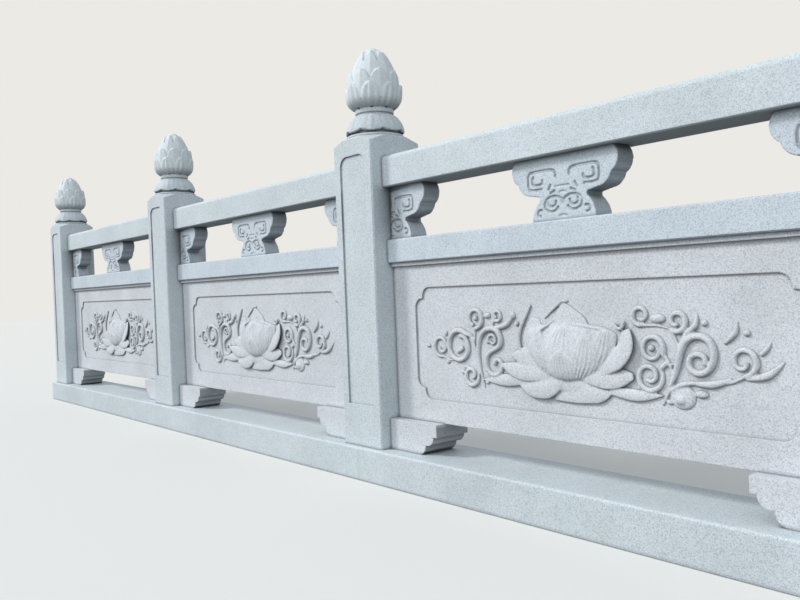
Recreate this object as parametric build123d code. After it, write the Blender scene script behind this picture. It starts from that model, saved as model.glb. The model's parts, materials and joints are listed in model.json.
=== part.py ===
from build123d import *
from math import cos, pi, sin, sqrt
import os

# Carved granite balustrade of three bays.
# X runs along the balustrade, the street side faces -Y and Z is up, all in millimetres.
# The origin lies on the underside of the sill, in the middle of the run.

# The run
bay_count = 3
bay_pitch = 1500.0

# Sill stones
sill_depth = 230.0
sill_height = 100.0
sill_edge_round = 6.0
sill_end_overhang = 20.0

# Posts
post_width = 190.0
post_height = 940.0
post_edge_bevel = 4.0
post_corner_drop = 22.0
post_field_margin = 32.0
post_field_top_margin = 56.0
post_field_bottom_margin = 128.0
post_field_corner = 32.0
field_depth = 5.0

# Bracket feet
foot_height = 90.0
foot_length = 205.0
foot_thickness = 120.0
foot_nose_height = 36.0
foot_nose_step = 14.0
foot_hollow_radius = 26.0
foot_hollow_step = 8.0

# Panel stones, each with its middle rail and fillet
slab_height = 451.0
slab_thickness = 50.0
fillet_height = 11.0
fillet_thickness = 70.0
middle_rail_height = 70.0
middle_rail_thickness = 92.0
middle_rail_edge_bevel = 3.0
panel_field_border = 65.0
panel_field_side_border = 94.0
panel_corner_round = 28.0
panel_corner_step = 4.0

# Cloud balusters
baluster_height = 156.0
baluster_thickness = 60.0
lobe_reach = 158.0
lobe_top_reach = 148.0
lobe_bulge_height = 124.0
lobe_cusp_reach = 138.0
lobe_cusp_height = 96.0
low_lobe_reach = 127.0
low_lobe_height = 77.0
low_lobe_root_reach = 104.0
low_lobe_root_height = 67.0
neck_reach = 70.0
neck_height = 56.0
neck_notch = 8.0
baluster_base_reach = 94.0
baluster_base_band = 14.0

# Top rails
rail_height = 94.0
rail_thickness = 110.0
rail_top_round = 14.0
rail_bottom_bevel = 3.0

# Tenons, and the mortises cut for them
tenon_clearance = 1.0
side_tenon_length = 25.0
rail_tenon_width = 50.0
rail_tenon_height = 46.0
panel_tenon_thickness = 26.0
panel_tenon_height = 220.0
finial_tenon_width = 60.0
finial_tenon_length = 45.0

# Lotus-bud finials
finial_sides = 32
disc_radius = 90.0
disc_height = 8.0
groove_radius = 78.0
groove_height = 9.0
ring_radius = 63.0
ring_height = 24.0

# Calyx with its drooping leaves
calyx_height = 52.0
calyx_bottom_radius = 90.0
calyx_top_radius = 62.0
calyx_crown = 6.0
leaf_groove_depth = 3.0
leaf_valley_rise = 6.0

# Bud with its rows of overlapping petals
petal_count = 8
petal_groove_depth = 5.0
petal_lip = 7.0
petal_tip_heights = (66.0, 110.0, 168.0)
petal_tip_drops = (28.0, 32.0, 34.0)
bud_height = 189.0
bud_radius = 81.0
bud_seat_radius = 58.0
bud_top_radius = 12.0
bud_widest_height = 42.0

# Heights that follow from the stack of stones
sill_top = sill_height
slab_bottom = sill_top + foot_height
slab_top = slab_bottom + slab_height
middle_rail_bottom = slab_top + fillet_height
middle_rail_top = middle_rail_bottom + middle_rail_height
rail_bottom = middle_rail_top + baluster_height
post_top = sill_top + post_height
rail_tenon_z = rail_bottom + rail_height / 2
panel_tenon_z = slab_bottom + slab_height / 2

clear_span = bay_pitch - post_width
half_post = post_width / 2
run_start = -bay_count * bay_pitch / 2


def post_x(index):
    """Centre of a post, counted from the left end of the run."""
    return run_start + index * bay_pitch


def bay_x(index):
    """Middle of a bay, counted from the left end of the run."""
    return post_x(index) + bay_pitch / 2


def sill_stone(left_overhang, right_overhang):
    """One long stone from post centre to post centre, with its top edges eased."""
    length = bay_pitch + left_overhang + right_overhang
    middle = (right_overhang - left_overhang) / 2
    stone = Pos(middle, 0, sill_height / 2) * Box(length, sill_depth, sill_height)
    top_edges = stone.edges().filter_by(Axis.X).group_by(Axis.Z)[-1]
    return fillet(top_edges, sill_edge_round)


def arched_field(width, height, corner):
    """Tall sunk field with two rounded shoulders, in the XZ plane, standing on z = 0."""
    left = -width / 2
    right = width / 2
    with BuildSketch(Plane.XZ) as field:
        with BuildLine():
            Polyline((left, height - corner), (left, 0), (right, 0), (right, height - corner))
            RadiusArc((right, height - corner), (right - corner, height), -corner)
            Line((right - corner, height), (left + corner, height))
            RadiusArc((left + corner, height), (left, height - corner), -corner)
        make_face()
    return field.sketch


def mortise_box(length, width, height):
    """Hollow that takes a tenon of this size, cleared all round and touched at its end."""
    clear = 2 * tenon_clearance
    return Box(length, width + clear, height + clear)


def side_mortises(side):
    """Mortises for the top rail and the panel in the face of a post towards +X or -X."""
    x = side * (half_post - side_tenon_length / 2)
    rail_mortise = Pos(x, 0, rail_tenon_z) * mortise_box(
        side_tenon_length, rail_tenon_width, rail_tenon_height)
    panel_mortise = Pos(x, 0, panel_tenon_z) * mortise_box(
        side_tenon_length, panel_tenon_thickness, panel_tenon_height)
    return rail_mortise + panel_mortise


def corner_slope():
    """Wedge taken off the post's top at one corner, from the finial's disc out to the corner."""
    run = half_post * sqrt(2) - disc_radius
    with BuildSketch(Plane.XZ) as profile:
        with BuildLine():
            Polyline((disc_radius, 0), (disc_radius + 2 * run, -2 * post_corner_drop),
                     (disc_radius + 2 * run, post_corner_drop), (disc_radius, post_corner_drop),
                     close=True)
        make_face()
    return Pos(0, 0, post_top) * extrude(profile.sketch, half_post, both=True)


def post(has_left_bay, has_right_bay):
    """Square shaft with sloped top corners, an arched field on front and back, and its mortises."""
    shaft = Pos(0, 0, sill_top + post_height / 2) * Box(post_width, post_width, post_height)
    top_edges = shaft.edges().group_by(Axis.Z)[-1]
    shaft = chamfer(shaft.edges().filter_by(Axis.Z) + top_edges, post_edge_bevel)
    for corner in range(4):
        shaft -= Rot(0, 0, 45 + 90 * corner) * corner_slope()
    field_width = post_width - 2 * post_field_margin
    field_height = post_height - post_field_top_margin - post_field_bottom_margin
    outline = Pos(0, 0, sill_top + post_field_bottom_margin) * arched_field(
        field_width, field_height, post_field_corner)
    sunk = extrude(outline, field_depth, both=True)
    shaft -= Pos(0, -half_post, 0) * sunk
    shaft -= Pos(0, half_post, 0) * sunk
    shaft -= Pos(0, 0, post_top - finial_tenon_length / 2) * Box(
        finial_tenon_width + 2 * tenon_clearance,
        finial_tenon_width + 2 * tenon_clearance,
        finial_tenon_length)
    if has_left_bay:
        shaft -= side_mortises(-1)
    if has_right_bay:
        shaft -= side_mortises(1)
    return shaft


def valley_share(index, half_turned):
    """Place of a corner across its petal: 0 at the petal's middle and 1 in the valley beside it."""
    place = index * petal_count / finial_sides
    if half_turned:
        place += 0.5
    return 2 * abs(place - round(place))


def ring(heights, radii):
    """Corners round the finial's axis, each with its own height and radius."""
    corners = []
    for index in range(finial_sides):
        turn = 2 * pi * index / finial_sides
        corners.append((radii[index] * cos(turn), radii[index] * sin(turn), heights[index]))
    return corners


def round_ring(height, radius):
    """Corners of a plain round section."""
    return ring([height] * finial_sides, [radius] * finial_sides)


def faceted(rings):
    """Solid with flat faces through rings of corners, from the lowest ring to the highest."""
    faces = [make_face(Polyline(*end, close=True)).face() for end in (rings[0], rings[-1])]
    for low, high in zip(rings, rings[1:]):
        for index in range(finial_sides):
            after = (index + 1) % finial_sides
            faces.append(Face(Wire.make_polygon([low[index], low[after], high[after]])))
            faces.append(Face(Wire.make_polygon([low[index], high[after], high[index]])))
    return Solid(Shell(faces))


def calyx_ring(bottom, level):
    """Section of the calyx, from its leafy lower edge at level 0 to its plain top at level 1."""
    heights = []
    radii = []
    for index in range(finial_sides):
        valley = (1 - level) * valley_share(index, False) ** 2
        taper = calyx_bottom_radius + (calyx_top_radius - calyx_bottom_radius) * level
        heights.append(bottom + calyx_height * level + leaf_valley_rise * valley)
        radii.append(taper + calyx_crown * 4 * level * (1 - level) - leaf_groove_depth * valley)
    return ring(heights, radii)


def bud_radius_at(height):
    """Radius of the bud's plain outline at a height above its seat."""
    if height < bud_widest_height:
        below = 1 - height / bud_widest_height
        return bud_radius - (bud_radius - bud_seat_radius) * below ** 3
    above = (height - bud_widest_height) / (bud_height - bud_widest_height)
    return bud_top_radius + (bud_radius - bud_top_radius) * (1 - above ** 2) ** 0.75


def petal_edge(row, index):
    """Height of a petal row's upper edge, from the petal's tip down to the valley beside it."""
    return petal_tip_heights[row] - petal_tip_drops[row] * valley_share(index, row % 2 == 1) ** 1.5


def petal_ring(seat, row, level):
    """Section of a petal row, from where it shows at level 0 to its curled upper edge at level 1."""
    heights = []
    radii = []
    for index in range(finial_sides):
        start = petal_edge(row - 1, index) if row > 0 else 0.0
        height = start + (petal_edge(row, index) - start) * level
        groove = petal_groove_depth * valley_share(index, row % 2 == 1) ** 2
        if row == 0:
            groove *= level
        heights.append(seat + height)
        radii.append(bud_radius_at(height) - groove + petal_lip * level ** 2)
    return ring(heights, radii)


def crown_ring(seat, level):
    """Section of the bud's smooth top, above the last row of petals."""
    last_row = len(petal_tip_heights) - 1
    starts = [petal_edge(last_row, index) for index in range(finial_sides)]
    heights = [start + (bud_height - start) * level for start in starts]
    return ring([seat + height for height in heights], [bud_radius_at(height) for height in heights])


def lotus_bud_finial():
    """Tenon, disc, groove, leafy calyx, ring and petalled bud in one stone."""
    calyx_bottom = disc_height + groove_height
    calyx_top = calyx_bottom + calyx_height
    seat = calyx_top + ring_height
    rings = [round_ring(0.0, disc_radius), round_ring(disc_height, disc_radius),
             round_ring(disc_height, groove_radius), round_ring(calyx_bottom, groove_radius)]
    rings += [calyx_ring(calyx_bottom, level) for level in (0.0, 0.35, 0.7, 1.0)]
    rings += [round_ring(calyx_top, ring_radius), round_ring(seat, ring_radius)]
    rings += [petal_ring(seat, 0, level) for level in (0.0, 0.25, 0.5, 0.8, 1.0)]
    for row in range(1, len(petal_tip_heights)):
        rings += [petal_ring(seat, row, level) for level in (0.0, 0.5, 1.0)]
    rings += [crown_ring(seat, level) for level in (0.0, 0.6, 1.0)]
    tenon = Pos(0, 0, -finial_tenon_length / 2) * Box(
        finial_tenon_width, finial_tenon_width, finial_tenon_length)
    return Pos(0, 0, post_top) * (faceted(rings) + tenon)


def top_rail():
    """Handrail stone between two posts, with its upper edges well rounded."""
    rail = Pos(0, 0, rail_bottom + rail_height / 2) * Box(clear_span, rail_thickness, rail_height)
    rail = fillet(rail.edges().filter_by(Axis.X).group_by(Axis.Z)[-1], rail_top_round)
    rail = chamfer(rail.edges().filter_by(Axis.X).group_by(Axis.Z)[0], rail_bottom_bevel)
    tenons = Pos(0, 0, rail_tenon_z) * Box(
        clear_span + 2 * side_tenon_length, rail_tenon_width, rail_tenon_height)
    return rail + tenons


def panel_field():
    """Outline of the sunk field, whose corners step in with two quarter rounds each."""
    half_length = clear_span / 2 - panel_field_side_border
    half_height = slab_height / 2 - panel_field_border
    step = panel_corner_round + panel_corner_step
    inset = panel_corner_round + step
    with BuildSketch(Plane.XZ) as field:
        with BuildLine():
            Line((0, half_height), (half_length - inset, half_height))
            RadiusArc((half_length - inset, half_height),
                      (half_length - step, half_height - panel_corner_round), panel_corner_round)
            Polyline((half_length - step, half_height - panel_corner_round),
                     (half_length - step, half_height - step),
                     (half_length - panel_corner_round, half_height - step))
            RadiusArc((half_length - panel_corner_round, half_height - step),
                      (half_length, half_height - inset), panel_corner_round)
            Polyline((half_length, half_height - inset), (half_length, 0), (0, 0), (0, half_height))
        make_face()
        mirror(about=Plane.YZ)
        mirror(about=Plane.XZ)
    return field.sketch


def panel_stone():
    """Slab with its fillet and middle rail in one stone, and a sunk field on both faces."""
    slab = Pos(0, 0, slab_bottom + slab_height / 2) * Box(clear_span, slab_thickness, slab_height)
    band = Pos(0, 0, slab_top + fillet_height / 2) * Box(clear_span, fillet_thickness, fillet_height)
    rail = Pos(0, 0, middle_rail_bottom + middle_rail_height / 2) * Box(
        clear_span, middle_rail_thickness, middle_rail_height)
    rail = chamfer(rail.edges().filter_by(Axis.X), middle_rail_edge_bevel)
    stone = slab + band + rail
    sunk = extrude(Pos(0, 0, slab_bottom + slab_height / 2) * panel_field(), field_depth, both=True)
    stone -= Pos(0, -slab_thickness / 2, 0) * sunk
    stone -= Pos(0, slab_thickness / 2, 0) * sunk
    tenons = Pos(0, 0, panel_tenon_z) * Box(
        clear_span + 2 * side_tenon_length, panel_tenon_thickness, panel_tenon_height)
    return stone + tenons


def half_cloud():
    """Right half of the cloud-shaped baluster outline, standing on z = 0."""
    with BuildSketch(Plane.XZ) as outline:
        with BuildLine():
            Polyline((0, baluster_height), (0, 0), (baluster_base_reach, 0),
                     (baluster_base_reach, baluster_base_band))
            neck_low = neck_height - neck_notch / 2
            neck_high = neck_height + neck_notch / 2
            ThreePointArc((baluster_base_reach, baluster_base_band),
                          ((baluster_base_reach + neck_reach) / 2 + neck_notch / 4,
                           (baluster_base_band + neck_low) / 2 + neck_notch / 2),
                          (neck_reach, neck_low))
            Polyline((neck_reach, neck_low), (neck_reach, neck_high),
                     (low_lobe_root_reach, low_lobe_root_height))
            ThreePointArc((low_lobe_root_reach, low_lobe_root_height),
                          (low_lobe_reach, low_lobe_height),
                          (lobe_cusp_reach, lobe_cusp_height))
            ThreePointArc((lobe_cusp_reach, lobe_cusp_height),
                          (lobe_reach, lobe_bulge_height),
                          (lobe_top_reach, baluster_height))
            Line((lobe_top_reach, baluster_height), (0, baluster_height))
        make_face()
    return outline.sketch


def half_baluster(side):
    """Half of the cloud, standing against a post, with its lobes towards +X or -X."""
    stone = extrude(half_cloud(), baluster_thickness / 2, both=True)
    if side < 0:
        stone = mirror(stone, about=Plane.YZ)
    return Pos(0, 0, middle_rail_top) * stone


def cloud_baluster():
    """Whole cloud in the middle of a bay."""
    right = extrude(half_cloud(), baluster_thickness / 2, both=True)
    left = mirror(right, about=Plane.YZ)
    return Pos(0, 0, middle_rail_top) * (right + left)


def bracket_foot(side):
    """Foot with a square nose and two hollow rounds, reaching from a post towards +X or -X."""
    nose_bottom = foot_height - foot_nose_height
    hollow_top_x = foot_length - foot_nose_step
    hollow_mid_x = hollow_top_x - foot_hollow_radius
    hollow_mid_z = nose_bottom - foot_hollow_radius
    toe_x = hollow_mid_x - foot_hollow_step - hollow_mid_z
    with BuildSketch(Plane.XZ) as outline:
        with BuildLine():
            Polyline((toe_x, 0), (0, 0), (0, foot_height), (foot_length, foot_height),
                     (foot_length, nose_bottom), (hollow_top_x, nose_bottom))
            RadiusArc((hollow_top_x, nose_bottom), (hollow_mid_x, hollow_mid_z), foot_hollow_radius)
            Line((hollow_mid_x, hollow_mid_z), (hollow_mid_x - foot_hollow_step, hollow_mid_z))
            RadiusArc((hollow_mid_x - foot_hollow_step, hollow_mid_z), (toe_x, 0), hollow_mid_z)
        make_face()
    stone = extrude(outline.sketch, foot_thickness / 2, both=True)
    if side < 0:
        stone = mirror(stone, about=Plane.YZ)
    return Pos(0, 0, sill_top) * stone


def save(piece, x, name):
    """Write one stone at its place along the run."""
    export_step(Pos(x, 0, 0) * piece, "parts/" + name + ".step")


os.makedirs("parts", exist_ok=True)

end_overhang = half_post + sill_end_overhang
panel = panel_stone()
rail = top_rail()
baluster = cloud_baluster()
finial = lotus_bud_finial()

for bay in range(bay_count):
    number = str(bay + 1)
    left_overhang = end_overhang if bay == 0 else 0.0
    right_overhang = end_overhang if bay == bay_count - 1 else 0.0
    left_face = post_x(bay) + half_post
    right_face = post_x(bay + 1) - half_post
    save(sill_stone(left_overhang, right_overhang), bay_x(bay), "sill_stone_" + number)
    save(panel, bay_x(bay), "panel_stone_" + number)
    save(rail, bay_x(bay), "top_rail_" + number)
    save(baluster, bay_x(bay), "cloud_baluster_" + number)
    save(half_baluster(1), left_face, "half_baluster_left_" + number)
    save(half_baluster(-1), right_face, "half_baluster_right_" + number)
    save(bracket_foot(1), left_face, "bracket_foot_left_" + number)
    save(bracket_foot(-1), right_face, "bracket_foot_right_" + number)

for index in range(bay_count + 1):
    number = str(index + 1)
    save(post(index > 0, index < bay_count), post_x(index), "post_" + number)
    save(finial, post_x(index), "lotus_bud_finial_" + number)
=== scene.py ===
import json
from math import cos, pi, radians, sin

import bpy
from mathutils import Matrix, Quaternion, Vector

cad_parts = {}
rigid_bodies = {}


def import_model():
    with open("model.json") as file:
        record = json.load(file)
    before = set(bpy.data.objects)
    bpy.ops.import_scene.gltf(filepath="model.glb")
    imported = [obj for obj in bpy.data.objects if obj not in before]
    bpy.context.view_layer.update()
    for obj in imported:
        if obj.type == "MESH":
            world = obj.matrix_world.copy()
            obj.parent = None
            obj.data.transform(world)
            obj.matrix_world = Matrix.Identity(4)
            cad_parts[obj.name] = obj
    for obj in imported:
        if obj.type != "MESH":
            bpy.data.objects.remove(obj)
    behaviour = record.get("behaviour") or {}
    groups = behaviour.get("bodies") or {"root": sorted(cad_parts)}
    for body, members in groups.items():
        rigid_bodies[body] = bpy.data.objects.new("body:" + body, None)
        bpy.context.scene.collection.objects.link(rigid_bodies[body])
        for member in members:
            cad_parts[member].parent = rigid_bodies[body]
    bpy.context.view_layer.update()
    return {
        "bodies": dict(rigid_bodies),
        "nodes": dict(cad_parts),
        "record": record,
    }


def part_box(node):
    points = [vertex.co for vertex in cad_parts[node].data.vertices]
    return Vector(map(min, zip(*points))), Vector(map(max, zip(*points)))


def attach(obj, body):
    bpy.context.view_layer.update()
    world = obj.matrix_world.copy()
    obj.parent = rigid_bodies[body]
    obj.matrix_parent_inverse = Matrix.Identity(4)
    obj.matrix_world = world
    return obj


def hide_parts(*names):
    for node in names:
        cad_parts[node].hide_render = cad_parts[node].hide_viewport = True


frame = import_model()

# Carved granite balustrade of three bays. X runs along it, its front faces -Y and Z is up, in metres.
# The carving is drawn in millimetres and put in place in metres.

nodes = frame["nodes"]
BODY = next(iter(frame["bodies"]))
BAYS = 3
MM = 0.001
HALF_TURN = Matrix.Rotation(pi, 4, "Z")


class Link:
    """Output of a shader node. Sums written on it add the nodes that work them out."""

    def __init__(self, shader, socket):
        self.shader = shader
        self.socket = socket

    def maths(self, operation, *others):
        """Result of this number and others."""
        return self.shader.add("ShaderNodeMath", {"operation": operation}, self, *others)

    def fade(self, start, end, before, after):
        """Number that goes from one value to another while this one goes from start to end."""
        return self.shader.add("ShaderNodeMapRange", {}, self, start, end, before, after)

    def along(self, axis):
        """Part of a vector along the X, Y or Z axis."""
        return self.shader.add("ShaderNodeSeparateXYZ", {}, self, output="XYZ".index(axis))

    def __add__(self, other):
        return self.maths("ADD", other)

    def __rsub__(self, other):
        return self.shader.add("ShaderNodeMath", {"operation": "SUBTRACT"}, other, self)

    def __mul__(self, other):
        return self.maths("MULTIPLY", other)


class Shader:
    """Node tree of one material."""

    def __init__(self, name):
        self.material = bpy.data.materials.new(name)
        self.material.use_nodes = True
        self.tree = self.material.node_tree
        self.surface = self.tree.nodes["Principled BSDF"]

    def add(self, kind, settings, *inputs, output=0, **named):
        """Adds a node, sets it, feeds its sockets by place or by name, and gives one of its outputs."""
        node = self.tree.nodes.new(kind)
        for setting, value in settings.items():
            setattr(node, setting, value)
        for place, value in enumerate(inputs):
            self.feed(node.inputs[place], value)
        for socket_name, value in named.items():
            self.feed(node.inputs[socket_name], value)
        return Link(self, node.outputs[output])

    def feed(self, socket, value):
        """Links a socket to a node's output, or gives it a number or a colour."""
        if isinstance(value, Link):
            self.tree.links.new(value.socket, socket)
        elif isinstance(value, tuple) and len(value) == 3 and socket.type == "RGBA":
            socket.default_value = (*value, 1.0)
        else:
            socket.default_value = value

    def mix(self, factor, first, second, blend="MIX"):
        """Colour between two colours."""
        node = self.tree.nodes.new("ShaderNodeMix")
        node.data_type = "RGBA"
        node.blend_type = blend
        self.feed(node.inputs[0], factor)
        self.feed(node.inputs[6], first)
        self.feed(node.inputs[7], second)
        return Link(self, node.outputs[2])

    def finish(self, **surface):
        """Feeds the sockets of the surface by name and gives the material."""
        for name, value in surface.items():
            self.feed(self.surface.inputs[name.replace("_", " ")], value)
        return self.material


# Heights over which the painted shade and light on the stone and its tint change, in metres

PANEL_UNDERSIDE = (0.180, 0.192)
SLAB_TOP = (0.645, 0.655)
BALUSTER_FOOT = (0.70, 0.78)
HANDRAIL_UNDERSIDE = (0.87, 0.89)
LESS_SHADE_ON_BUD = (1.10, 1.16)
PAINTED_LIGHT_ON_BUD = (1.11, 1.17)

# Colours mixed in: two tints of the stone, a painted highlight for the bud, painted shade for hollows and
# sheltered faces, and pale edges that are partly wear and partly painted highlight.
GREENISH_TINT = (0.93, 1.0, 0.96)
COOL_TINT = (0.93, 1.0, 1.03)
BUD_HIGHLIGHT = (0.80, 0.86, 0.89)
GRIME_AND_SHADE = (0.17, 0.19, 0.20)
PAINTED_SHADE = (0.10, 0.11, 0.112)
WORN_EDGE_AND_HIGHLIGHT = (0.80, 0.84, 0.87)


def granite(name, body, dark, pale, side_shade=0.0, cool_top=0.0):
    """Honed granite: fine crystals, slow clouding, painted shade in the hollows with some dirt, painted
    shade under and beside the stones, and pale edges that are partly wear and partly a painted highlight.

    One setting gives painted shade to the faces that look along the balustrade, and cool_top cools the
    colour above the slab of a panel.
    """
    shader = Shader(name)
    place = shader.add("ShaderNodeTexCoord", {}, output=3)
    height = place.along("Z")
    facing = shader.add("ShaderNodeNewGeometry", {}, output=1)

    crystals = shader.add("ShaderNodeTexVoronoi", {}, Vector=place, Scale=520.0, output=1)
    tone = shader.add("ShaderNodeSeparateColor", {}, crystals)
    colour = shader.mix(tone.fade(0.05, 0.40, 0.9, 0.0), body, dark)
    colour = shader.mix(tone.fade(0.72, 1.0, 0.0, 1.0), colour, pale)
    slow = shader.add("ShaderNodeTexNoise", {}, Vector=place, Scale=4.0, Detail=5.0, Roughness=0.62)
    cloud = slow.fade(0.3, 0.7, 0.92, 1.08)
    grey = shader.add("ShaderNodeCombineColor", {}, cloud, cloud, cloud)
    colour = shader.mix(1.0, colour, grey, blend="MULTIPLY")
    patches = shader.add("ShaderNodeTexNoise", {}, Vector=place, Scale=2.2, Detail=2.0)
    colour = shader.mix(patches.fade(0.52, 0.72, 0.0, 0.35), colour, GREENISH_TINT, blend="MULTIPLY")
    # Painted highlight: the bud of the finial is paled, standing in for light falling on it.
    colour = shader.mix(height.fade(*PAINTED_LIGHT_ON_BUD, 0.0, 0.48), colour, BUD_HIGHLIGHT)
    colour = shader.mix(height.fade(*SLAB_TOP, 0.0, cool_top), colour, COOL_TINT, blend="MULTIPLY")

    # Painted shade with some dirt: hollows and creases are darkened where the nearby stone closes round
    # them, and the bud keeps less of this painted shade.
    shade_kept_on_bud = height.fade(*LESS_SHADE_ON_BUD, 1.0, 0.75)
    openness = shader.add("ShaderNodeAmbientOcclusion", {"samples": 8}, Distance=0.014, output=1)
    grime_and_shade = openness.fade(0.36, 0.90, 0.82, 0.0) * shade_kept_on_bud
    colour = shader.mix(grime_and_shade, colour, GRIME_AND_SHADE)

    # Painted shade: faces turned down are darkened everywhere, sheltered places and faces that look along
    # the balustrade are darkened in the baluster band, and those side faces are darkened below the panels
    # too.
    underside_shade = facing.along("Z").fade(-0.25, -0.9, 0.0, 0.72) * shade_kept_on_bud
    side = facing.along("X").maths("ABSOLUTE").fade(0.60, 0.95, 0.0, side_shade)
    sky_seen = shader.add("ShaderNodeAmbientOcclusion", {"samples": 8}, Distance=0.11, output=1)
    sheltered = sky_seen.fade(0.40, 0.80, 0.85, 0.0).maths("MAXIMUM", side)
    beside_balusters = height.fade(*BALUSTER_FOOT, 0.0, 1.0) * height.fade(*HANDRAIL_UNDERSIDE, 1.0, 0.0)
    beside_feet = height.fade(*PANEL_UNDERSIDE, 1.0, 0.0)
    shelter_and_side_shade = (sheltered * beside_balusters).maths("MAXIMUM", side * beside_feet)
    colour = shader.mix(shelter_and_side_shade.maths("MAXIMUM", underside_shade), colour, PAINTED_SHADE)

    # Pale edges: the rounded edges are lightened in patches, partly as wear and partly as a painted
    # highlight.
    rounded = shader.add("ShaderNodeBevel", {"samples": 4}, Radius=0.0045)
    flatness = shader.add("ShaderNodeVectorMath", {"operation": "DOT_PRODUCT"}, rounded, facing, output=1)
    edge = flatness.fade(0.80, 0.985, 0.45, 0.0)
    edge_noise = shader.add("ShaderNodeTexNoise", {}, Vector=place, Scale=45.0, Detail=3.0)
    wear_and_sheen = edge_noise.fade(0.40, 0.60, 0.2, 1.0)
    colour = shader.mix(edge * wear_and_sheen * (1.0 - grime_and_shade), colour, WORN_EDGE_AND_HIGHLIGHT)

    fine = shader.add("ShaderNodeTexNoise", {}, Vector=place, Scale=700.0, Detail=2.0)
    uneven = shader.add("ShaderNodeTexNoise", {}, Vector=place, Scale=60.0, Detail=3.0)
    bump = shader.add("ShaderNodeBump", {}, Strength=0.3, Distance=0.0012, Height=fine * 0.3 + uneven,
                      Normal=rounded)
    return shader.finish(Base_Color=colour, Roughness=tone.fade(0.0, 1.0, 0.62, 0.78), Normal=bump)


post_granite = granite("post_granite", body=(0.60, 0.66, 0.70), dark=(0.40, 0.45, 0.48),
                       pale=(0.70, 0.75, 0.78))
# The panel stones take painted shade on their faces that look along the balustrade.
panel_granite = granite("panel_granite", body=(0.63, 0.65, 0.69), dark=(0.42, 0.44, 0.48),
                        pale=(0.73, 0.75, 0.78), side_shade=0.60, cool_top=1.0)
SLOT_MATERIALS = {"post_granite": post_granite, "rail_granite": post_granite,
                  "sill_granite": post_granite, "panel_granite": panel_granite}

for subpart in frame["record"]["subparts"]:
    node = nodes[subpart["node"]]
    node.data.materials.clear()
    node.data.materials.append(SLOT_MATERIALS[subpart["material_slot"]])


# Modelling tools

def only(*pieces):
    """Makes these pieces the ones that operators act on."""
    bpy.ops.object.select_all(action="DESELECT")
    for piece in pieces:
        piece.select_set(True)
    bpy.context.view_layer.objects.active = pieces[0]


def edit(piece, operator, **settings):
    """Runs an operator of edit mode on the whole mesh of a piece."""
    only(piece)
    bpy.ops.object.mode_set(mode="EDIT")
    bpy.ops.mesh.select_all(action="SELECT")
    operator(**settings)
    bpy.ops.object.mode_set(mode="OBJECT")


def shape_with(piece, kind, **settings):
    """Adds a modifier to a piece and applies it."""
    only(piece)
    modifier = piece.modifiers.new(kind.lower(), kind)
    for setting, value in settings.items():
        setattr(modifier, setting, value)
    bpy.ops.object.modifier_apply(modifier=modifier.name)


def settle(piece):
    """Puts a piece's place into its mesh, and leaves its object at the origin."""
    only(piece)
    bpy.ops.object.transform_apply(location=True, rotation=True, scale=True)
    return piece


def join(pieces, name):
    """Makes one piece of several."""
    only(*pieces)
    bpy.ops.object.join()
    joined = bpy.context.object
    joined.name = name
    return joined


def linked_copy(piece, name):
    """Copy with its own mesh, put in the scene."""
    copy = bpy.data.objects.new(name, piece.data.copy())
    bpy.context.collection.objects.link(copy)
    return copy


def rod(points, radii, depth, lift=0.0):
    """Tapering rod along points of the XZ plane, in millimetres, pressed flat to a share of its depth."""
    bpy.ops.curve.primitive_nurbs_path_add()
    path = bpy.context.object
    path.data.splines.clear()
    spline = path.data.splines.new("NURBS")
    spline.points.add(len(points) - 1)
    for point, (x, z), radius in zip(spline.points, points, radii):
        point.co = (x * MM, 0.0, z * MM, 1.0)
        point.radius = radius * MM
    spline.order_u = 3
    spline.use_endpoint_u = True
    path.data.bevel_depth = 1.0
    path.data.bevel_resolution = 4
    path.data.use_fill_caps = True
    path.data.resolution_u = 4
    only(path)
    bpy.ops.object.convert(target="MESH")
    piece = bpy.context.object
    piece.scale = (1.0, depth, 1.0)
    piece.location = (0.0, -lift * MM, 0.0)
    return settle(piece)


# Shapes of the panel carving: places are measured in millimetres from the middle of the sunk field

RIB_DEPTH = 1.2
SPIRAL_STEP = 22.0


def spiral(centre, reach, start, sweep, inner, hold):
    """Points that keep to a circle at first and wind in ever faster to an inner radius."""
    steps = max(6, round(abs(sweep) / SPIRAL_STEP))
    points = []
    for step in range(steps + 1):
        share = step / steps
        radius = inner + (reach - inner) * (1 - share ** hold)
        turn = radians(start + sweep * share)
        points.append((centre[0] + radius * cos(turn), centre[1] + radius * sin(turn)))
    return points


def tendril(points, rib, eye, thin_start=True):
    """Rib of a scroll along points, which thins out where it starts and ends in a round boss."""
    last = len(points) - 1
    radii = []
    for place in range(last + 1):
        along = place / last
        rise = min(1.0, 0.3 + 3.0 * along) if thin_start else 1.0
        radii.append(1.1 * rib * (1.0 - 0.32 * along) * rise)
    radii[-1] = eye
    radii[-2] = max(radii[-2], 0.85 * eye)
    return rod(points, radii, RIB_DEPTH)


def vine(stem, centre, reach, start, sweep, rib=7.0, eye=6.0, hold=2.2, inner=0.2):
    """Tendril with a stem and a spiral that winds in to a share of its reach."""
    curl = spiral(centre, reach, start, sweep, inner * reach, hold)
    return tendril(list(stem) + curl, rib, eye, bool(stem))


def petal(points, half_widths, height, lift=0.0, tilt=0.0):
    """Petal or leaf along its middle line, with its lower edge tilted up from the ground in degrees."""
    piece = rod(points, half_widths, height / max(half_widths), lift)
    if tilt:
        first = Vector((points[0][0], 0, points[0][1]))
        last = Vector((points[-1][0], 0, points[-1][1]))
        middle = (first + last) * (MM / 2)
        axis = last - first if last.x > first.x else first - last
        turn = Matrix.Rotation(radians(-tilt), 4, axis.normalized())
        piece.matrix_world = Matrix.Translation(middle) @ turn @ Matrix.Translation(-middle)
        settle(piece)
    return piece


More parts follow.
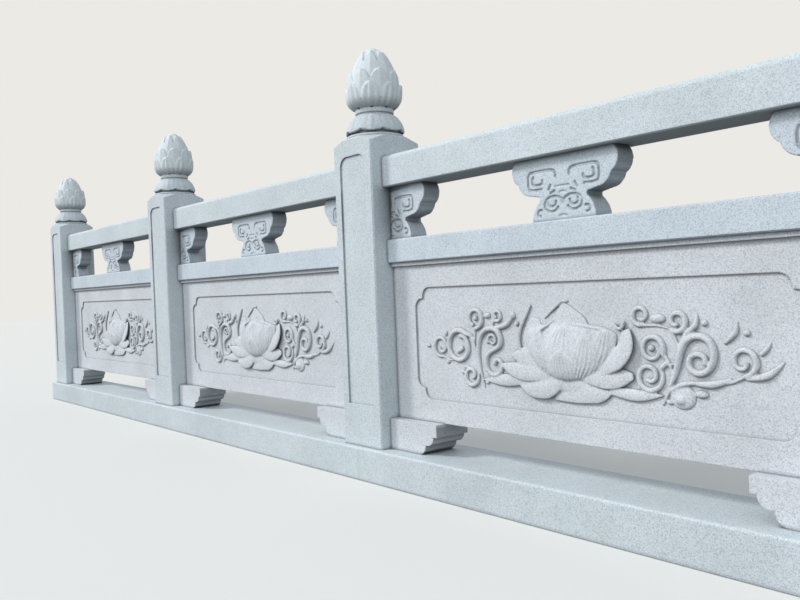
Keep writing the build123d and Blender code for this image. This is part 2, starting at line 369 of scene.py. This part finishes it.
def rim(points, thick, lift=0.0):
    """Raised edge of a cupped petal, thinner at both ends."""
    last = len(points) - 1
    radii = [thick * (0.55 + 0.45 * sin(pi * place / last)) for place in range(last + 1)]
    return rod(points, radii, RIB_DEPTH, lift)


def ball(centre, radii, depth):
    """Round or oval boss."""
    bpy.ops.mesh.primitive_uv_sphere_add(segments=24, ring_count=16, radius=1.0)
    piece = bpy.context.object
    piece.location = (centre[0] * MM, 0.0, centre[1] * MM)
    piece.scale = (radii[0] * MM, depth * MM, radii[1] * MM)
    return settle(piece)


def scrolls_on_the_left():
    """Scrolls, leaves and bosses to the left of the lotus."""
    return [
        tendril([(-290, -112), (-298, -88), (-306, -56), (-310, -22), (-308, 6), (-298, 28), (-280, 42),
                 (-258, 46), (-237, 40), (-227, 26), (-225, 10), (-232, -2), (-246, -9), (-264, -16),
                 (-277, -28), (-282, -45), (-277, -64), (-262, -77), (-242, -77), (-227, -66),
                 (-223, -49), (-232, -36), (-247, -36), (-252, -50)], 8.5, 7.0),
        vine([], (-258, 14), 16, 210, -400, rib=5.0, eye=5.0, hold=2.0),
        vine([(-306, -60), (-318, -28), (-324, 4), (-336, 27)], (-382, -3), 42, 48, 400, rib=8.5, eye=7.0,
             hold=4.0, inner=0.6),
        petal([(-391, -21), (-380, -15), (-367, -8)], [7, 9.5, 7], 9),
        vine([(-324, 0), (-322, 24), (-320, 42)], (-318, 70), 26, 262, 350, hold=3.0, inner=0.72),
        ball((-316, 72), (8, 8), 9),
        vine([(-402, -44), (-422, -46)], (-457, -8), 28, 290, -450, rib=6.5, hold=2.6),
        vine([(-302, -66), (-308, -74)], (-337, -84), 26, 14, -430, hold=2.4),
        vine([(-264, 38), (-258, 54)], (-238, 79), 15, 240, 390, rib=5.5, eye=5.0),
        petal([(-262, 44), (-232, 48), (-206, 54), (-192, 65), (-182, 77)], [4, 8, 8.5, 8, 7], 9),
        ball((-181, 79), (9, 10), 9),
        ball((-273, 79), (13, 8), 8),
        ball((-436, 30), (6, 9), 6),
        ball((-511, -6), (9, 6), 6),
        ball((-430, -49), (8, 6), 6),
        ball((-370, -74), (9, 7), 7),
        ball((-358, -60), (12, 5), 6),
        ball((-280, -98), (8, 5), 6),
        ball((-168, 58), (6, 7), 8),
    ]


def scrolls_on_the_right():
    """Scrolls, leaves and bosses to the right of the lotus."""
    return [
        tendril([(244, -114), (256, -92), (266, -68), (278, -44), (285, -20), (291, 4), (303, 25),
                 (321, 36), (342, 36), (359, 25), (367, 6), (365, -15), (355, -33), (338, -43),
                 (320, -40), (309, -27), (310, -11), (322, -2), (338, -2), (349, -11), (347, -23)],
                9.0, 8.0),
        ball((293, -93), (30, 27), 8),
        ball((290, -98), (16, 14), 12),
        petal([(262, -84), (280, -72), (300, -64), (322, -62)], [4, 7, 7, 5], 9),
        vine([(270, -66), (270, -40), (260, -16)], (224, 6), 27, -25, 400, hold=3.0, inner=0.5),
        ball((221, 8), (8, 8), 9),
        petal([(240, -38), (252, -28), (263, -16)], [5, 8, 4], 9),
        vine([(280, -24), (262, -26)], (214, -54), 34, 38, -540, eye=5.0, hold=1.5),
        vine([(286, 0), (284, 20), (276, 36)], (284, 66), 22, 225, 430, hold=2.4),
        vine([(268, 50), (240, 58), (214, 57)], (196, 78), 21, 290, -430, rib=6.5, hold=2.2),
        ball((238, 72), (20, 11), 9),
        petal([(288, 14), (302, 36), (318, 50), (331, 62), (330, 84)], [4, 7, 7.5, 7, 2], 9),
        ball((347, 63), (8, 7), 8),
        petal([(318, -62), (345, -64), (372, -62), (402, -50)], [5, 9, 9, 4], 9),
        vine([(360, -64), (392, -60), (420, -48)], (428, -14), 27, 275, 430, hold=2.4),
        petal([(432, -46), (462, -44), (488, -32), (508, -10)], [5, 9, 8, 2], 9),
        petal([(388, 22), (404, 34), (416, 50), (416, 66)], [4, 7, 7, 2], 8),
        ball((436, 44), (8, 7), 7),
        petal([(462, 2), (476, 12), (483, 28)], [5, 7, 2], 8),
        ball((336, -84), (16, 9), 8),
        ball((262, -106), (8, 6), 6),
    ]


# The cup is an oval bowl that reaches further below its middle than above it

CUP_MIDDLE = (-5.0, 33.0)
CUP_REACH = 138.0
CUP_ABOVE, CUP_BELOW = 28.0, 112.0
CUP_HEIGHT = 21.0
CUP_FALL_START, CUP_FALL_LENGTH = -25.0, 85.0


def cup_height_at(x, z):
    """Height of the cup of front petals over the field, fullest low down and lower at its rim."""
    reach = CUP_ABOVE if z > CUP_MIDDLE[1] else CUP_BELOW
    share = 1 - ((x - CUP_MIDDLE[0]) / CUP_REACH) ** 2 - ((z - CUP_MIDDLE[1]) / reach) ** 2
    fall = min(1.0, max(0.0, (z - CUP_FALL_START) / CUP_FALL_LENGTH))
    return CUP_HEIGHT * max(0.0, share) ** 0.45 * (1 - 0.5 * fall * fall * (3 - 2 * fall))


def cup():
    """Smooth bowl that the front petals lie on."""
    bpy.ops.mesh.primitive_uv_sphere_add(segments=64, ring_count=40, radius=1.0)
    piece = bpy.context.object
    for vertex in piece.data.vertices:
        x = CUP_MIDDLE[0] + CUP_REACH * vertex.co.x
        z = CUP_MIDDLE[1] + (CUP_ABOVE if vertex.co.z > 0 else CUP_BELOW) * vertex.co.z
        height = cup_height_at(x, z) if vertex.co.y < 0 else -8.0 * abs(vertex.co.y)
        vertex.co = (x * MM, -height * MM, z * MM)
    return piece


def draped(piece):
    """Lays a flat petal or vein over the cup."""
    for vertex in piece.data.vertices:
        vertex.co.y -= cup_height_at(vertex.co.x / MM, vertex.co.z / MM) * MM
    return piece


VEIN_RADIUS = 1.8


def veined(points, half_widths, height, lift, veins):
    """Petal of the cup, with fine veins that fan out from its foot."""
    shapes = [draped(petal(points, half_widths, height, lift))]
    for vein in range(veins):
        across = (vein + 0.5) / veins * 2 - 1
        line = [(x + across * 0.78 * width, z) for (x, z), width in zip(points, half_widths)]
        top = lift + height * (1 - 0.6 * across ** 2)
        shapes.append(draped(rod(line, [VEIN_RADIUS] * len(line), 1.1, top - 0.4)))
    return shapes


def lotus():
    """Open flower seen from the side, from its rear petals to the front ones."""
    rear = [
        petal([(4, 10), (-6, 52), (-13, 84), (-17, 113)], [60, 66, 40, 3], 6, 1),
        rim([(-78, 72), (-62, 85), (-44, 98), (-30, 109), (-17, 116), (-2, 113)], 5.0),
        petal([(-84, -40), (-108, -4), (-114, 36), (-108, 74)], [34, 46, 40, 16], 4, 0.5),
        rim([(-120, 106), (-130, 88), (-146, 63), (-158, 42), (-163, 20), (-160, 0), (-152, -20)],
            5.5, 2),
        petal([(-70, -44), (-120, -27), (-160, -23), (-188, -22)], [30, 26, 22, 4], 6, 5, 5),
        petal([(-60, -60), (-110, -62), (-155, -63), (-198, -55), (-228, -46)],
              [20, 25, 24, 16, 2], 6, 6, 5),
        petal([(-146, -84), (-190, -87), (-240, -89), (-292, -91)], [12, 18, 15, 2], 6, 3, 5),
        petal([(80, -40), (123, -31), (154, -8), (164, 20), (156, 46)], [20, 26, 26, 23, 14], 6, 3, 14),
        rim([(130, 62), (134, 51), (145, 48), (153, 55), (155, 68)], 4.5, 6),
        petal([(28, -58), (84, -65), (124, -65), (156, -59), (176, -57)], [15, 26, 25, 19, 7], 6, 6, 5),
        petal([(112, -92), (160, -97), (202, -99), (248, -93)], [10, 15, 13, 2], 6, 3, 5),
        petal([(-90, -74), (-40, -88), (20, -90), (80, -78)], [14, 22, 22, 14], 8, 2),
        petal([(-176, -84), (-148, -89), (-112, -94)], [5, 11, 8], 6, 3),
        petal([(-52, -122), (0, -106), (48, -105), (92, -103), (118, -95)], [5, 26, 23, 22, 3], 6, 4, 4),
        petal([(34, -96), (72, -106), (106, -102)], [20, 25, 8], 6, 5, 4),
        petal([(-26, -72), (-54, -97), (-96, -105), (-135, -107), (-160, -99)],
              [16, 27, 24, 15, 2], 6, 7, 5),
        cup(),
        draped(rim([(-102, 30), (-84, 44), (-64, 58), (-44, 70)], 5.0, 2)),
        draped(rim([(-46, 66), (-14, 62), (26, 59), (62, 52), (110, 46)], 2.5, 1)),
    ]
    front = veined([(66, -56), (84, -28), (97, 6), (104, 44)], [16, 26, 30, 14], 3.0, 0.0, 4)
    front += veined([(-16, -40), (-16, 0), (-14, 34), (-12, 60)], [50, 62, 48, 4], 3.0, 0.5, 6)
    front += veined([(22, -78), (42, -50), (54, -18), (58, 14), (54, 44)],
                    [20, 44, 46, 36, 4], 3.0, 1.5, 6)
    front += veined([(-56, -72), (-74, -48), (-86, -18), (-90, 12), (-84, 40)],
                    [20, 40, 42, 34, 4], 3.0, 1.5, 5)
    front += veined([(-17, -86), (-17, -66), (-17, -40), (-17, -16), (-17, -4)],
                    [30, 45, 46, 30, 4], 4.0, 3.0, 7)
    return rear + front


def skin(piece, voxel, softening, iterations):
    """Fuses overlapping shapes into one skin and softens it as worn stone."""
    shape_with(piece, "REMESH", mode="VOXEL", voxel_size=voxel)
    shape_with(piece, "SMOOTH", factor=softening, iterations=iterations)


def thin(piece, keep):
    """Thins the faces of a piece to a share of them and shades it smooth."""
    shape_with(piece, "DECIMATE", ratio=keep)
    bpy.ops.object.shade_smooth()


def place_copy(piece, name, place, material):
    """Copy of a stone or a relief at its place, with its granite."""
    copy = linked_copy(piece, name)
    copy.data.transform(place)
    copy.data.materials.clear()
    copy.data.materials.append(material)
    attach(copy, BODY)
    return copy


# Places of the relief in metres: it stands on the sunk fields and reaches a little into the slab

FIELD_FACE = 0.020
ROOT_DEPTH = 0.003
SLAB_BOTTOM, SLAB_HEIGHT = 0.190, 0.451

relief = join(lotus() + scrolls_on_the_left() + scrolls_on_the_right(), "lotus_relief")
skin(relief, voxel=0.0016, softening=0.6, iterations=2)
edit(relief, bpy.ops.mesh.bisect, plane_co=(0, ROOT_DEPTH, 0), plane_no=(0, 1, 0), use_fill=True,
     clear_outer=True)
thin(relief, 0.35)
for bay in range(1, BAYS + 1):
    low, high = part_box(f"panel_stone_{bay}")
    field_middle = Vector(((low.x + high.x) / 2, 0.0, SLAB_BOTTOM + SLAB_HEIGHT / 2))
    front = Matrix.Translation(field_middle + Vector((0, -FIELD_FACE, 0)))
    back = Matrix.Translation(field_middle + Vector((0, FIELD_FACE, 0))) @ HALF_TURN
    place_copy(relief, f"lotus_relief_front_{bay}", front, panel_granite)
    place_copy(relief, f"lotus_relief_back_{bay}", back, panel_granite)
bpy.data.objects.remove(relief)


# Lotus-bud finial: heights are measured in millimetres from the top of the post

def turned(profile, name):
    """Round body turned about the Z axis, from radii and heights in millimetres."""
    bpy.ops.curve.primitive_nurbs_path_add()
    path = bpy.context.object
    path.data.splines.clear()
    spline = path.data.splines.new("POLY")
    spline.points.add(len(profile) - 1)
    for point, (radius, height) in zip(spline.points, profile):
        point.co = (radius * MM, 0.0, height * MM, 1.0)
    only(path)
    bpy.ops.object.convert(target="MESH")
    body = bpy.context.object
    body.name = name
    shape_with(body, "SCREW", axis="Z", angle=2 * pi, steps=96, render_steps=96,
               use_merge_vertices=True, use_normal_calculate=True)
    edit(body, bpy.ops.mesh.remove_doubles, threshold=0.00001)
    edit(body, bpy.ops.mesh.normals_make_consistent, inside=False)
    return body


DISC_RADIUS, DISC_TOP = 90.0, 8.0
CALYX_BOTTOM, CALYX_TOP = 17.0, 69.0
BUD_SEAT, BUD_HEIGHT = 93.0, 189.0
BUD_RADIUS, BUD_WIDEST = 81.0, 42.0
BUD_SEAT_RADIUS, BUD_TOP_RADIUS = 58.0, 12.0
CALYX_STEPS, BUD_STEPS = 8, 32
PETALS = 8
PETAL_THICKNESS = 8.0
EDGE_RISE, RIDGE_RISE = 3.4, 1.5

CALYX_LEAF = {"half_turn": 24.0, "layer": 0.0, "crown": 2.5, "curl": 1.5, "ribs": 0.8, "blunt": 24}
LOWER_PETAL = {"half_turn": 24.0, "layer": 0.0, "crown": 4.5, "curl": 7.5, "ribs": 2.4, "blunt": 2.6}
MIDDLE_PETAL = {"half_turn": 24.0, "layer": -3.0, "crown": 5.0, "curl": 8.5, "ribs": 0.6, "blunt": 4.0}
UPPER_PETAL = {"half_turn": 24.5, "layer": -5.0, "crown": 4.0, "curl": 6.0, "ribs": 0.4, "blunt": 4.0}


def bud_radius_at(height):
    """Radius of the bud at a height above its seat."""
    if height < BUD_WIDEST:
        below = 1 - max(0.0, height) / BUD_WIDEST
        return BUD_RADIUS - (BUD_RADIUS - BUD_SEAT_RADIUS) * below ** 3
    above = min(1.0, (height - BUD_WIDEST) / (BUD_HEIGHT - BUD_WIDEST))
    return BUD_TOP_RADIUS + (BUD_RADIUS - BUD_TOP_RADIUS) * (1 - above ** 2) ** 0.75


def on_the_bud(height):
    """Radius of the bud at a height above the post."""
    return bud_radius_at(height - BUD_SEAT)


def calyx_radius_at(height):
    """Radius of the flared calyx at a height above the post."""
    share = (height - CALYX_BOTTOM) / (CALYX_TOP - CALYX_BOTTOM)
    return 88.0 - 26.0 * share + 26.0 * share * (1 - share)


def wrapped_petal(radius_at, foot, tip, facing, half_turn, layer, crown, curl, ribs, blunt):
    """Petal that follows the stone's round body from its foot to its tip, which curls out.

    facing and half_turn are in degrees, layer is its height over the body, crown its swell across, and a
    higher blunt makes its tip wider.
    """
    bpy.ops.mesh.primitive_grid_add(x_subdivisions=28, y_subdivisions=32, size=2.0)
    piece = bpy.context.object
    for vertex in piece.data.vertices:
        across = vertex.co.x
        along = (vertex.co.y + 1) / 2
        width = half_turn * max(0.04, (1 - along ** blunt) ** 0.60)
        height = foot + (tip - foot) * along
        swell = crown * (1 - across ** 2) * (1 - 0.6 * along ** 2) + curl * along ** 2.5
        flutes = ribs * cos(across * 3 * pi) * max(0.0, 1 - along ** 3)
        edge = EDGE_RISE * max(0.0, (abs(across) - 0.70) / 0.30) * along
        ridge = RIDGE_RISE * max(0.0, 1 - abs(across) / 0.15) * along
        radius = (radius_at(height) + layer + swell + flutes + edge + ridge - PETAL_THICKNESS / 2) * MM
        turn = radians(facing + across * width)
        vertex.co = (radius * cos(turn), radius * sin(turn), height * MM)
    edit(piece, bpy.ops.mesh.normals_make_consistent, inside=False)
    shape_with(piece, "SOLIDIFY", thickness=PETAL_THICKNESS * MM, offset=0.0)
    return piece


def lotus_bud():
    """Disc, groove, leafy calyx, ring and a bud with three rows of petals, standing on z = 0."""
    profile = [(0, 0), (DISC_RADIUS, 0), (DISC_RADIUS, DISC_TOP - 2), (DISC_RADIUS - 2, DISC_TOP),
               (76, DISC_TOP), (76, CALYX_BOTTOM + 1.5)]
    for step in range(CALYX_STEPS + 1):
        height = CALYX_BOTTOM + 1.5 + (CALYX_TOP - CALYX_BOTTOM - 1.5) * step / CALYX_STEPS
        profile.append((calyx_radius_at(height) - 2.0, height))
    profile += [(60, CALYX_TOP + 1), (56, CALYX_TOP + 3), (56, CALYX_TOP + 6), (58.5, CALYX_TOP + 7),
                (60, CALYX_TOP + 9), (60, BUD_SEAT - 5), (58.5, BUD_SEAT - 2.5), (55, BUD_SEAT - 1),
                (53, BUD_SEAT)]
    for step in range(BUD_STEPS + 1):
        height = BUD_HEIGHT * step / BUD_STEPS
        sunk = 8.0 - 6.5 * (step / BUD_STEPS) ** 2
        profile.append((bud_radius_at(height) - sunk, BUD_SEAT + height - 0.5))
    profile += [(5, BUD_SEAT + BUD_HEIGHT), (0, BUD_SEAT + BUD_HEIGHT)]
    shapes = [turned(profile, "bud_core")]
    for index in range(PETALS):
        facing = 360.0 / PETALS * index
        between = facing + 180.0 / PETALS
        shapes.append(wrapped_petal(calyx_radius_at, CALYX_TOP - 3, CALYX_BOTTOM, facing, **CALYX_LEAF))
        shapes.append(wrapped_petal(on_the_bud, BUD_SEAT + 1, BUD_SEAT + 68, facing, **LOWER_PETAL))
        shapes.append(wrapped_petal(on_the_bud, BUD_SEAT + 22, BUD_SEAT + 110, between, **MIDDLE_PETAL))
        shapes.append(wrapped_petal(on_the_bud, BUD_SEAT + 62, BUD_SEAT + 174, facing, **UPPER_PETAL))
    bud = join(shapes, "lotus_bud")
    skin(bud, voxel=0.0016, softening=0.5, iterations=1)
    thin(bud, 0.24)
    return bud


finial = lotus_bud()
for number in range(1, BAYS + 2):
    low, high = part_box(f"post_{number}")
    post_top = Matrix.Translation(((low.x + high.x) / 2, 0.0, high.z))
    piece = place_copy(finial, f"carved_finial_{number}", post_top, post_granite)
    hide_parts(f"lotus_bud_finial_{number}")
bpy.data.objects.remove(finial)


# Cloud balusters: places are measured in millimetres from the middle of the base, on the face

BALUSTER_FACE = 0.030


def groove(points, radius=3.4):
    """Cutter for a carved line along points of the face."""
    return rod(points, [radius] * len(points), 1.3)


def cloud_carving():
    """Cutters for the two frets, the two round scrolls and the lines between them, on one face."""
    right_side = [
        [(21, 102), (20, 112), (22, 119), (34, 123), (64, 123), (92, 123), (103, 121), (106, 112),
         (106, 90), (103, 81), (94, 78), (60, 79)],
        [(86, 112), (92, 110), (93, 102), (92, 93), (86, 90), (70, 90), (62, 92), (60, 100), (63, 103)],
        [(1, 40), (2, 50), (10, 54), (24, 59), (42, 57), (54, 49), (57, 36), (50, 25), (34, 21), (20, 24),
         (13, 34)],
        [(20, 50), (21, 39), (30, 33), (41, 35), (47, 43), (43, 51)],
        [(35, 89), (38, 82), (45, 73)],
        [(22, 73), (28, 68), (40, 66)],
        [(62, 28), (72, 30), (80, 22), (76, 13), (66, 14)],
    ]
    cutters = []
    for points in right_side:
        cutters.append(groove(points))
        cutters.append(groove([(-x, z) for x, z in points]))
    cutters.append(groove([(-25, 81), (0, 81.5), (22, 81)], 2.8))
    cutters.append(groove([(-12, 65), (0, 71), (12, 65)], 2.8))
    cutters.append(groove([(-14, 9), (0, 15), (14, 9)], 2.8))
    return cutters


def carved_cloud():
    """Whole baluster of the second bay, moved to x = 0 and z = 0, with both its faces carved."""
    low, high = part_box("cloud_baluster_2")
    stone = linked_copy(nodes["cloud_baluster_2"], "cloud")
    stone.data.transform(Matrix.Translation((-(low.x + high.x) / 2, 0.0, -low.z)))
    edit(stone, bpy.ops.mesh.remove_doubles, threshold=0.00001)
    cutters = []
    for turn in (Matrix.Identity(4), HALF_TURN):
        side = join(cloud_carving(), "cutters")
        side.data.transform(turn @ Matrix.Translation((0, -BALUSTER_FACE, 0)))
        cutters.append(side)
    cutter = join(cutters, "cutters")
    shape_with(cutter, "REMESH", mode="VOXEL", voxel_size=0.0012)
    shape_with(stone, "BOOLEAN", operation="DIFFERENCE", solver="EXACT", object=cutter)
    bpy.data.objects.remove(cutter)
    skin(stone, voxel=0.0020, softening=0.5, iterations=2)
    thin(stone, 0.32)
    return stone


def half_of(stone, side, name):
    """Half of the carved cloud, cut down its middle: side is 1 for its right half and -1 for its left."""
    half = linked_copy(stone, name)
    edit(half, bpy.ops.mesh.bisect, plane_co=(0, 0, 0), plane_no=(side, 0, 0), use_fill=True,
         clear_inner=True)
    return half


cloud = carved_cloud()
half_right = half_of(cloud, 1, "half_right")
half_left = half_of(cloud, -1, "half_left")
for bay in range(1, BAYS + 1):
    low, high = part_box(f"cloud_baluster_{bay}")
    middle = Matrix.Translation(((low.x + high.x) / 2, 0.0, low.z))
    piece = place_copy(cloud, f"carved_cloud_{bay}", middle, panel_granite)
    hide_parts(f"cloud_baluster_{bay}")
    low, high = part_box(f"half_baluster_left_{bay}")
    by_post = Matrix.Translation((low.x, 0.0, low.z))
    piece = place_copy(half_right, f"carved_half_left_{bay}", by_post, panel_granite)
    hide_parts(f"half_baluster_left_{bay}")
    low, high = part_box(f"half_baluster_right_{bay}")
    by_post = Matrix.Translation((high.x, 0.0, low.z))
    piece = place_copy(half_left, f"carved_half_right_{bay}", by_post, panel_granite)
    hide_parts(f"half_baluster_right_{bay}")
for piece in (cloud, half_right, half_left):
    bpy.data.objects.remove(piece)


# Floor, light and camera

floor_shader = Shader("pale_floor")
floor_shader.surface.inputs["Roughness"].default_value = 0.9
floor_seen = floor_shader.add("ShaderNodeLightPath", {}, output=0)
floor_colour = floor_shader.mix(floor_seen, (0.24, 0.24, 0.24), (0.80, 0.785, 0.76))
floor_shader.finish(Base_Color=floor_colour)
bpy.ops.mesh.primitive_plane_add(size=60.0, location=(0, 0, 0))
floor = bpy.context.object
floor.name = "floor"
floor.data.materials.append(floor_shader.material)

SOFT_SKY = (0.86, 0.95, 1.0, 1.0)
PALE_BACKDROP = (0.84, 0.82, 0.78, 1.0)
SKY_STRENGTH = 0.62

# The stone is lit by the sky, and what looks past it sees a plain backdrop
world = bpy.data.worlds.new("soft_daylight")
world.use_nodes = True
tree = world.node_tree
sky = tree.nodes["Background"]
sky.inputs["Color"].default_value = SOFT_SKY
sky.inputs["Strength"].default_value = SKY_STRENGTH
backdrop = tree.nodes.new("ShaderNodeBackground")
backdrop.inputs["Color"].default_value = PALE_BACKDROP
rays = tree.nodes.new("ShaderNodeLightPath")
looking = rays.outputs["Is Camera Ray"]
for kind in ("Is Glossy Ray", "Is Transmission Ray"):
    either = tree.nodes.new("ShaderNodeMath")
    either.operation = "ADD"
    either.use_clamp = True
    tree.links.new(looking, either.inputs[0])
    tree.links.new(rays.outputs[kind], either.inputs[1])
    looking = either.outputs[0]
choice = tree.nodes.new("ShaderNodeMixShader")
tree.links.new(looking, choice.inputs[0])
tree.links.new(sky.outputs[0], choice.inputs[1])
tree.links.new(backdrop.outputs[0], choice.inputs[2])
tree.links.new(choice.outputs[0], tree.nodes["World Output"].inputs["Surface"])
bpy.context.scene.world = world


def lamp(name, energy, spread, direction):
    """Distant lamp, soft by its spread in degrees."""
    data = bpy.data.lights.new(name, "SUN")
    data.energy = energy
    data.angle = radians(spread)
    light = bpy.data.objects.new(name, data)
    bpy.context.collection.objects.link(light)
    light.rotation_euler = Vector(direction).to_track_quat("-Z", "Y").to_euler()


lamp("key_light", 1.72, 14, (0.62, 0.62, -0.66))
lamp("front_fill", 0.95, 60, (-0.30, 0.88, -0.35))

CAMERA_PLACE = (2.7307, -1.5407, 0.5700)
CAMERA_YAW = -0.88721
CAMERA_PITCH = -0.0119
CAMERA_ROLL = -0.0395
CAMERA_LENS, SENSOR_WIDTH = 36.25, 36.0
camera_data = bpy.data.cameras.new("camera")
camera_data.sensor_width = SENSOR_WIDTH
camera_data.lens = CAMERA_LENS
camera = bpy.data.objects.new("camera", camera_data)
bpy.context.collection.objects.link(camera)
level = cos(CAMERA_PITCH)
ahead = Vector((sin(CAMERA_YAW) * level, cos(CAMERA_YAW) * level, sin(CAMERA_PITCH)))
camera.rotation_mode = "QUATERNION"
camera.rotation_quaternion = ahead.to_track_quat("-Z", "Y") @ Quaternion((0, 0, 1), CAMERA_ROLL)
camera.location = CAMERA_PLACE
bpy.context.scene.camera = camera
bpy.context.scene.view_settings.view_transform = "Standard"
